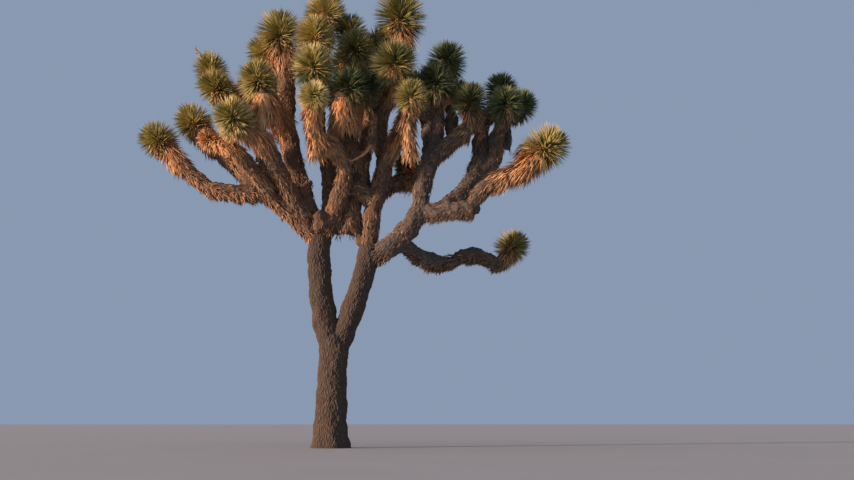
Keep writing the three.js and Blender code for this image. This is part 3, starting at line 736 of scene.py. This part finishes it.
def leaf_material(name, colour, foot_colour, tip_colour, roughness, gloss):
    """A leaf's skin: its foot and tip run into other colours, with faint blotches and ribs"""
    material, tree = blank_material(name)
    reach = put(tree, "ShaderNodeAttribute", attribute_name="reach").outputs["Fac"]
    place = put(tree, "ShaderNodeTexCoord").outputs["Object"]
    body = blend(tree, ranged(tree, reach, *FOOT_RANGE), colour, foot_colour)
    whole = blend(tree, ranged(tree, reach, *TIP_RANGE), body, tip_colour)
    light = ranged(tree, noise(tree, place, BLOTCH_SCALE, 3), *BLOTCH_RANGE, BLOTCH_LIGHT)
    shade = put(tree, "ShaderNodeHueSaturation", {"Value": light, "Color": whole})
    bump = put(tree, "ShaderNodeBump", {"Height": noise(tree, place, RIB_SCALE, 2), **RIB_BUMP})
    dress(tree, {"Base Color": shade.outputs[0], "Roughness": roughness, "Specular IOR Level": gloss,
                 "Normal": bump.outputs[0]})
    return material


def unit(vectors):
    """Vectors made one long"""
    return vectors / np.linalg.norm(vectors, axis=1)[:, None]


def blade_sizes(width, thickness, length):
    """How far the tree scales its blade to give each leaf its width, thickness and length"""
    return np.stack([width / BLADE_SPAN[0], np.full(len(width), thickness / BLADE_SPAN[1]), length], 1)


def sown_leaves(name, tree, inputs, sizes, leaves):
    """The blades of one piece: the tree, on a mesh of points with aims, faces, sizes and kinds"""
    mesh = bpy.data.meshes.new(name)
    mesh.from_pydata(leaves["place"].tolist(), [], [])
    for label in ("aim", "face", "size"):
        set_attribute(mesh, label, "FLOAT_VECTOR", leaves[label].astype(np.float32))
    set_attribute(mesh, "kind", "INT", leaves["kind"].astype(np.int32))
    made = grown_mesh(name, mesh, tree, inputs, sizes)
    for label in ("aim", "face", "size", "kind"):
        if label in made.attributes:
            made.attributes.remove(made.attributes[label])
    return shown_object(name, made)


def joined(parts):
    """Several sets of leaves as one set"""
    return {label: np.concatenate([part[label] for part in parts]) for label in parts[0]}


def picked(leaves, keep):
    """The leaves of a set that are kept"""
    return {label: values[keep] for label, values in leaves.items()}


# The thatch: each head's dead leaves fold back along the stem below it and stay for years. Just below the head
# they stand out and hang in a thick orange beard. Further down they are short and bristly; on the upper side of
# a level limb they have worn away, and below it they hang in a fringe. On the crown's shaded side they are
# darker brown and grey, as painted shade.
THATCH_SEED = 100
THATCH_SPACING = 0.0168
THATCH_FOOT = 0.008
THATCH_LENGTHS = (0.085, 0.205)
LENGTH_SHARES = (0.15, 0.85)
THATCH_WIDTH = 0.021
WIDTH_SHARES = (0.55, 0.45)
THATCH_THICKNESS = 0.006
THATCH_SIZES = {"Curl": -0.2, "Bulge": 3.6, "Sway": 0.06, "Sway Scale": 9}
COVER = SimpleNamespace(old=0.16, young=0.36, beard=0.48, fringe=0.8)
OPENING = SimpleNamespace(old=20, beard=18, fringe=30, collar=26, tuft=8, leaf=9)
TURN = SimpleNamespace(tuft=0.14, leaf=0.15)
DROOP = SimpleNamespace(beard=0.25, fringe=1.2)
AGE_SPREAD = (0.8, 1.2)
LENGTH_SPREAD = (0.65, 1.15)
WIDTH_SPREAD = (0.7, 1.3)
TUFT_AGE = 0.04
TUFT_LENGTH = 0.12
THATCH_LIFT = 0.12
FRINGE_LENGTH = 0.55
BEARD_FACE = 1.6
COLLAR_RUN = (0.03, 0.3)
BEARD_RUN = (0.3, 0.7)
YOUNG_RUN = (0.5, 1.6)
FRINGE_RUN = (2.4, 3.6)
MEAN_LEAF = 0.3
BURIED = -0.02
# How far the beards of some strands reach, as a multiple of the usual
BEARDS = {
    "head_right_low": 1.5, "bough_right_low_tip": 1.5, "head_left_outer": 0.95, "bough_left_tip": 0.95,
    "heads_upright_top": 0.9, "head_upright_front": 1.7, "heads_centre_front": 1.5, "bough_centre_top": 1.2,
    "head_right_front": 1.7, "head_middle_front": 1.5, "bough_middle_tip": 1.5, "heads_right_back": 0.5,
    "heads_right_up": 0.5, "head_right_up_side": 0.6, "head_lowest": 0.6, "bough_lowest_tip": 0.6,
}
TUFT_RUN = 0.06
TUFTS_ROUND = 8
# Each kind's name and roughness, and its colours at the middle, foot and tip
THATCH_KINDS = [leaf_material(f"dead_leaf_{name}", *colours, rough, 0.2) for name, rough, *colours in (
    ("orange", 0.8, (0.68, 0.365, 0.16), (0.5, 0.25, 0.11), (0.68, 0.43, 0.23)),
    ("straw", 0.8, (0.68, 0.45, 0.235), (0.54, 0.33, 0.16), (0.68, 0.51, 0.32)),
    ("brown", 0.85, (0.37, 0.21, 0.115), (0.24, 0.14, 0.08), (0.42, 0.28, 0.17)),
    ("grey", 0.85, (0.27, 0.2, 0.15), (0.19, 0.14, 0.1), (0.36, 0.29, 0.23)),
    # The umber and slate kinds serve only as painted shade on the crown's shaded side
    ("umber", 0.85, (0.23, 0.155, 0.108), (0.16, 0.108, 0.075), (0.28, 0.2, 0.145)),
    ("slate", 0.85, (0.19, 0.158, 0.133), (0.14, 0.114, 0.094), (0.25, 0.21, 0.18)),
)]
# The share of each of these kinds in a beard, in old thatch and in old thatch on the crown's shaded side,
# where the darker umber and slate kinds are painted shade
YOUNG_KINDS = np.array([0.56, 0.22, 0.2, 0.02, 0, 0])
OLD_KINDS = np.array([0.06, 0.02, 0.54, 0.38, 0, 0])
SHADED_KINDS = np.array([0.03, 0.01, 0.2, 0.14, 0.36, 0.26])
# The share of a beard's young orange colours that some shaded strands keep; the darker colours that take
# their place are painted shade
PAINTED_SHADE_BEARDS = {
    "heads_right_back": 0.3, "heads_right_up": 0.3, "head_right_up_side": 0.6, "head_right_back": 0.2,
    "bough_right_up": 0.2, "bough_right_up_top": 0.2, "bough_right_back": 0.2, "bough_right_back_tip": 0.2,
    "head_right_low": 0.8, "bough_right_low_tip": 0.8, "head_lowest": 0.6, "heads_upright_top": 0.6,
    "bough_upright_top": 0.4, "head_right_front": 0.7, "clump_right_front": 0.75, "tuft_right_low": 0,
}


def thatch_leaves(strand, random):
    """The dead leaves of one strand, turned round it by the golden angle"""
    wood = strand.outer * (1 - (1 - WOOD_UNDER_THATCH) * strand.thatch)
    count = int(strand.run[-1] * math.tau * wood.mean() / THATCH_SPACING**2)
    order = np.arange(count)
    row = np.minimum(((order + random.random(count)) / count * len(wood)).astype(int), len(wood) - 1)
    turn = np.radians(order * GOLDEN_ANGLE) % math.tau
    tufts = (turn * TUFTS_ROUND / math.tau).astype(int)
    tufts += (strand.run[row] / TUFT_RUN).astype(int) * TUFTS_ROUND
    tuft = random.normal(0, 1, (tufts.max() + 1, 3))[tufts]
    out = np.cos(turn)[:, None] * strand.across[row] + np.sin(turn)[:, None] * strand.aside[row]
    side = np.cross(out, strand.heading[row])
    age = strand.age[row] * random.uniform(*AGE_SPREAD) / BEARDS.get(strand.name, 1) + TUFT_AGE * tuft[:, 2]
    beard = 1 - smooth_step(age, *BEARD_RUN)
    young = 1 - smooth_step(age, *YOUNG_RUN)
    collar = 1 - smooth_step(age, *COLLAR_RUN)
    level = (1 - np.abs(strand.heading[row, 2])) * (1 - beard)
    hang = np.maximum(0, -out[:, 2]) * level * (1 - smooth_step(age, *FRINGE_RUN))
    worn = np.maximum(0, out[:, 2]) * level
    cover = COVER.old + COVER.young * young + COVER.beard * beard
    grown = random.random(count) < cover * (1 - worn) + COVER.fringe * hang
    opening = (OPENING.old + OPENING.beard * beard + OPENING.fringe * hang + OPENING.collar * collar
               + OPENING.tuft * tuft[:, 0] + random.normal(0, OPENING.leaf, count))
    opening = np.radians(opening)[:, None]
    aim = -np.cos(opening) * strand.heading[row] + np.sin(opening) * out
    turned = TURN.tuft * tuft[:, 1] + random.normal(0, TURN.leaf, count)
    aim += side * turned[:, None]
    aim[:, 2] -= DROOP.beard * beard + DROOP.fringe * hang
    lift = THATCH_LIFT - (unit(aim) * out).sum(1)
    aim = unit(unit(aim) + np.maximum(0, lift)[:, None] * out)
    least, most = THATCH_LENGTHS
    length = least + (most - least) * (LENGTH_SHARES[0] * young + LENGTH_SHARES[1] * beard)
    length = length * getattr(strand, "leaf", MEAN_LEAF) / MEAN_LEAF
    length = length * (1 + FRINGE_LENGTH * hang) * random.uniform(*LENGTH_SPREAD, count)
    length = length * (1 + TUFT_LENGTH * tuft[:, 2])
    full = WIDTH_SHARES[0] + WIDTH_SHARES[1] * np.maximum(beard, hang)
    width = THATCH_WIDTH * random.uniform(*WIDTH_SPREAD, count) * full
    # The right group's old thatch takes the darker kinds, and some strands' beards lose young colour, as
    # painted shade
    old = SHADED_KINDS if strand.group == "right" else OLD_KINDS
    weights = old + (YOUNG_KINDS - old) * (beard * PAINTED_SHADE_BEARDS.get(strand.name, 1))[:, None]
    kind = (random.random(count)[:, None] > np.cumsum(weights, 1)).sum(1).clip(0, len(THATCH_KINDS) - 1)
    leaves = {"place": strand.line[row] + out * (wood[row] - THATCH_FOOT)[:, None], "aim": aim,
              "face": unit(out + np.outer(BEARD_FACE * beard, [0, 0, 1])),
              "size": blade_sizes(width, THATCH_THICKNESS, length), "kind": kind}
    keep = (age > COLLAR_RUN[0]) & grown
    return picked(leaves, keep)


def outside_others(points, own):
    """How far points are outside the nearest strand but their own"""
    return nearest_rows(points, [strand for strand in strands if strand is not own], 3)[2]


def not_buried(leaves, own):
    """The leaves whose feet are not inside another strand"""
    return picked(leaves, outside_others(leaves["place"], own) > BURIED)


dead_tree, dead_inputs = leaf_tree("dead_leaves", BLADE_STEPS["dead"], THATCH_KINDS)
for order, group in enumerate(HEADS):
    random = np.random.default_rng(THATCH_SEED + order)
    members = [strand for strand in strands if strand.group == group]
    parts = [not_buried(thatch_leaves(strand, random), strand) for strand in members]
    piece = sown_leaves(f"dead_leaves_{group}", dead_tree, dead_inputs, THATCH_SIZES, joined(parts))
    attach(piece, "root")
    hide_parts(*HEADS[group])

# The green heads: each stem ends in a ball of several hundred stiff leaves. They turn by the golden angle from
# the bud to the skirt and open from upright to bent back, as in the source. Heads that stand in the sun are
# painted paler and yellower and those in the crown's shade darker green, as painted light and shade, and the
# lowest leaves of each are turning yellow.
LEAF_SEED = 200
LEAVES_PER_METRE = 1900
SPRAYS_PER_HEAD = 90
SPRAY_SHARE = 0.7
LEAF_OPENING = (3, 122)
LEAF_CROWDING = 1.15
LEAF_ROOT_SPREAD = 0.36
LEAF_SCATTER = 8
LEAF_TURN = 9
LEAF_SUNK = 0.08
LEAF_TESTS = (0.5, 0.8, 1)
LEAF_REACH = (0.9, 1.06)
BUD_REACH = 0.82
BUD_SHARE = 0.12
SKIRT_SHARE = 0.6
LEAF_WIDTH = 0.018
LEAF_WIDTHS = (0.85, 1.2)
LEAF_THICKNESS = 0.007
LEAF_SIZES = {"Curl": -0.06, "Bulge": 3.8, "Sway": 0.03, "Sway Scale": 5}
LEAF_KINDS = {name: leaf_material(f"green_leaf_{name}", *colours, rough, 0.3) for name, rough, *colours in (
    ("pale", 0.6, (0.58, 0.52, 0.21), (0.5, 0.46, 0.22), (0.6, 0.5, 0.25)),
    ("olive", 0.6, (0.42, 0.385, 0.14), (0.42, 0.39, 0.18), (0.48, 0.4, 0.18)),
    ("mid", 0.58, (0.25, 0.265, 0.1), (0.3, 0.3, 0.13), (0.3, 0.28, 0.13)),
    ("deep", 0.56, (0.12, 0.17, 0.08), (0.18, 0.21, 0.1), (0.17, 0.19, 0.1)),
    ("dark", 0.56, (0.06, 0.1, 0.055), (0.1, 0.13, 0.07), (0.1, 0.125, 0.075)),
)}
LEAF_KINDS["yellow"] = leaf_material(
    "yellow_leaf", (0.56, 0.43, 0.18), (0.5, 0.37, 0.16), (0.55, 0.4, 0.2), 0.65, 0.25)
LEAF_KINDS.update(zip(("dead", "straw", "brown"), THATCH_KINDS))


def mix(**shares):
    """The share of each kind of leaf, in the kinds' order"""
    return np.array([shares.get(kind, 0) for kind in LEAF_KINDS])


# The mix of kinds near a head's bud and in its skirt, for the kinds of light and age: the bright, warm, sunny
# and mild mixes are painted light, strongest first, the soft, shady and dim ones painted shade, and the dried
# one is a dead head's own colour
SUNNY = (mix(pale=0.36, olive=0.38, mid=0.2, deep=0.04, yellow=0.02),
         mix(pale=0.28, olive=0.3, mid=0.18, deep=0.02, yellow=0.22))
WARM = (mix(pale=0.62, olive=0.28, mid=0.1), mix(pale=0.5, olive=0.28, yellow=0.22))
SOFT = (mix(pale=0.12, olive=0.34, mid=0.36, deep=0.18),
        mix(pale=0.1, olive=0.3, mid=0.3, deep=0.12, yellow=0.18))
MILD = (mix(pale=0.18, olive=0.46, mid=0.28, deep=0.08), mix(pale=0.14, olive=0.4, mid=0.2, yellow=0.26))
BRIGHT = (mix(pale=0.84, olive=0.14, mid=0.02), mix(pale=0.7, olive=0.16, yellow=0.14))
SHADY = (mix(olive=0.02, mid=0.24, deep=0.42, dark=0.32),
         mix(olive=0.06, mid=0.26, deep=0.36, dark=0.26, yellow=0.06))
DIM = (mix(mid=0.14, deep=0.76, dark=0.1), mix(mid=0.14, deep=0.7, dark=0.16))
DRIED = (mix(dead=0.5, straw=0.3, brown=0.2), mix(dead=0.4, straw=0.2, brown=0.4))
HEAD_MIXES = {name: SUNNY for name in (*HEADS["left"], "head_upright_front", "heads_upright_top")}
HEAD_MIXES.update(head_middle_front=BRIGHT, heads_right_back=DIM, head_right_up_side=DIM, head_left_front=DRIED,
                  heads_right_upright=SOFT, heads_centre_top=SOFT, heads_middle_top=WARM, head_right_front=MILD,
                  head_right_low=MILD, head_lowest=MILD)


def head_leaves(neck, random):
    """The leaves of one head"""
    count = round(LEAVES_PER_METRE * neck.leaf)
    share = ((np.arange(count) + 0.5) / count) ** LEAF_CROWDING
    first, last = (math.cos(math.radians(angle)) for angle in LEAF_OPENING)
    opening = np.arccos(first + (last - first) * share) + np.radians(random.normal(0, LEAF_SCATTER, count))
    turn = np.radians(np.arange(count) * GOLDEN_ANGLE + random.normal(0, LEAF_TURN, count))
    side = unit(np.cross([[0, 0, 1.0]], neck.axis[None]))[0]
    front = np.cross(neck.axis, side)
    outwards = np.cos(turn)[:, None] * side + np.sin(turn)[:, None] * front
    aim = np.cos(opening)[:, None] * neck.axis + np.sin(opening)[:, None] * outwards
    root = neck.heart - (LEAF_ROOT_SPREAD * neck.leaf * share)[:, None] * neck.axis
    sunk = LEAF_SUNK * neck.leaf
    reach = BUD_REACH + (1 - BUD_REACH) * smooth_step(share, 0, BUD_SHARE)
    length = neck.leaf * random.uniform(*LEAF_REACH, count) * reach - sunk
    width = LEAF_WIDTH * random.uniform(*LEAF_WIDTHS, count)
    upper, lower = HEAD_MIXES.get(neck.name, SHADY)
    weights = upper + (lower - upper) * smooth_step(share, SKIRT_SHARE, 1)[:, None]
    sprays = unit(random.normal(0, 1, (SPRAYS_PER_HEAD, 3)))
    spray = random.random(SPRAYS_PER_HEAD)[(aim @ sprays.T).argmax(1)]
    tone = SPRAY_SHARE * spray + (1 - SPRAY_SHARE) * random.random(count)
    kind = (tone[:, None] > np.cumsum(weights, 1)).sum(1).clip(0, len(LEAF_KINDS) - 1)
    return {"place": root + sunk * aim, "aim": aim, "face": unit(neck.axis - aim * (aim @ neck.axis)[:, None]),
            "size": blade_sizes(width, LEAF_THICKNESS, length), "kind": kind}


def clear_of_limbs(leaves, own):
    """The leaves of a head that run into no limb and no other head's stem"""
    keep = np.ones(len(leaves["place"]), bool)
    for share in LEAF_TESTS:
        points = leaves["place"] + leaves["aim"] * (leaves["size"][:, 2] * share)[:, None]
        keep &= outside_others(points, own) > 0
    return picked(leaves, keep)


green_tree, green_inputs = leaf_tree("green_leaves", BLADE_STEPS["green"], list(LEAF_KINDS.values()))
for order, group in enumerate(HEADS):
    random = np.random.default_rng(LEAF_SEED + order)
    parts = [clear_of_limbs(head_leaves(neck, random), neck) for neck in necks if neck.group == group]
    piece = sown_leaves(f"green_leaves_{group}", green_tree, green_inputs, LEAF_SIZES, joined(parts))
    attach(piece, "root")
    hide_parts(*HEADS[group])

# Two dried flower stalks stay on the tree: one stands above the upper left heads, and one hangs in front of the
# crown's dark middle. Each is a thin woody stem that tapers, with a few stubs of its side stems left on it.
STALKS = {
    "stalk_standing": ((-2.0, 0.8, 5.6), (-2.13, 0.77, 5.77), (-2.246, 0.75, 5.896)),
    "stalk_hanging": ((0.513, -0.42, 4.036), (0.466, -0.5, 3.858), (0.254, -0.52, 3.769)),
}
STALK_SEED = 300
STALK_RADII = (0.028, 0.009)
STALK_STEPS = 30
STALK_TWIGS = 7
TWIG_LENGTH = 0.045
TWIG_RADII = (0.006, 0.004)
TWIG_LEAN = 0.6

random = np.random.default_rng(STALK_SEED)
parts = []
for name, controls in STALKS.items():
    stalk = SimpleNamespace(name=name, thatch=0, shift=0)
    stalk.line, stalk.run = even_line(curve(controls, STALK_STEPS))
    stalk.outer = np.linspace(*STALK_RADII, len(stalk.run))
    add_frames(stalk)
    parts.append(stalk)
    for row in random.integers(len(stalk.run) // 3, len(stalk.run), STALK_TWIGS):
        turn = random.uniform(0, math.tau)
        out = math.cos(turn) * stalk.across[row] + math.sin(turn) * stalk.aside[row]
        out = out + TWIG_LEAN * stalk.heading[row]
        twig = SimpleNamespace(name=name, thatch=0, shift=0)
        twig.line, twig.run = even_line(np.array([stalk.line[row], stalk.line[row] + TWIG_LENGTH * out]))
        twig.outer = np.linspace(*TWIG_RADII, len(twig.run))
        add_frames(twig)
        parts.append(twig)
mesh = bars_mesh("dried_flower_stalks", parts)
set_attribute(mesh, "grain", "FLOAT_VECTOR", grain_places(points_of(mesh), parts))
# The stalks' pale orange skin is partly their own dry colour and partly painted light, since the hanging one
# stands in the crown's shade
mesh.materials.append(bark_material("stalk_skin", (0.74, 0.42, 0.25), (0.42, 0.24, 0.14), (0.66, 0.42, 0.28)))
mesh.shade_smooth()
piece = shown_object("dried_flower_stalks", mesh)
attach(piece, "root")
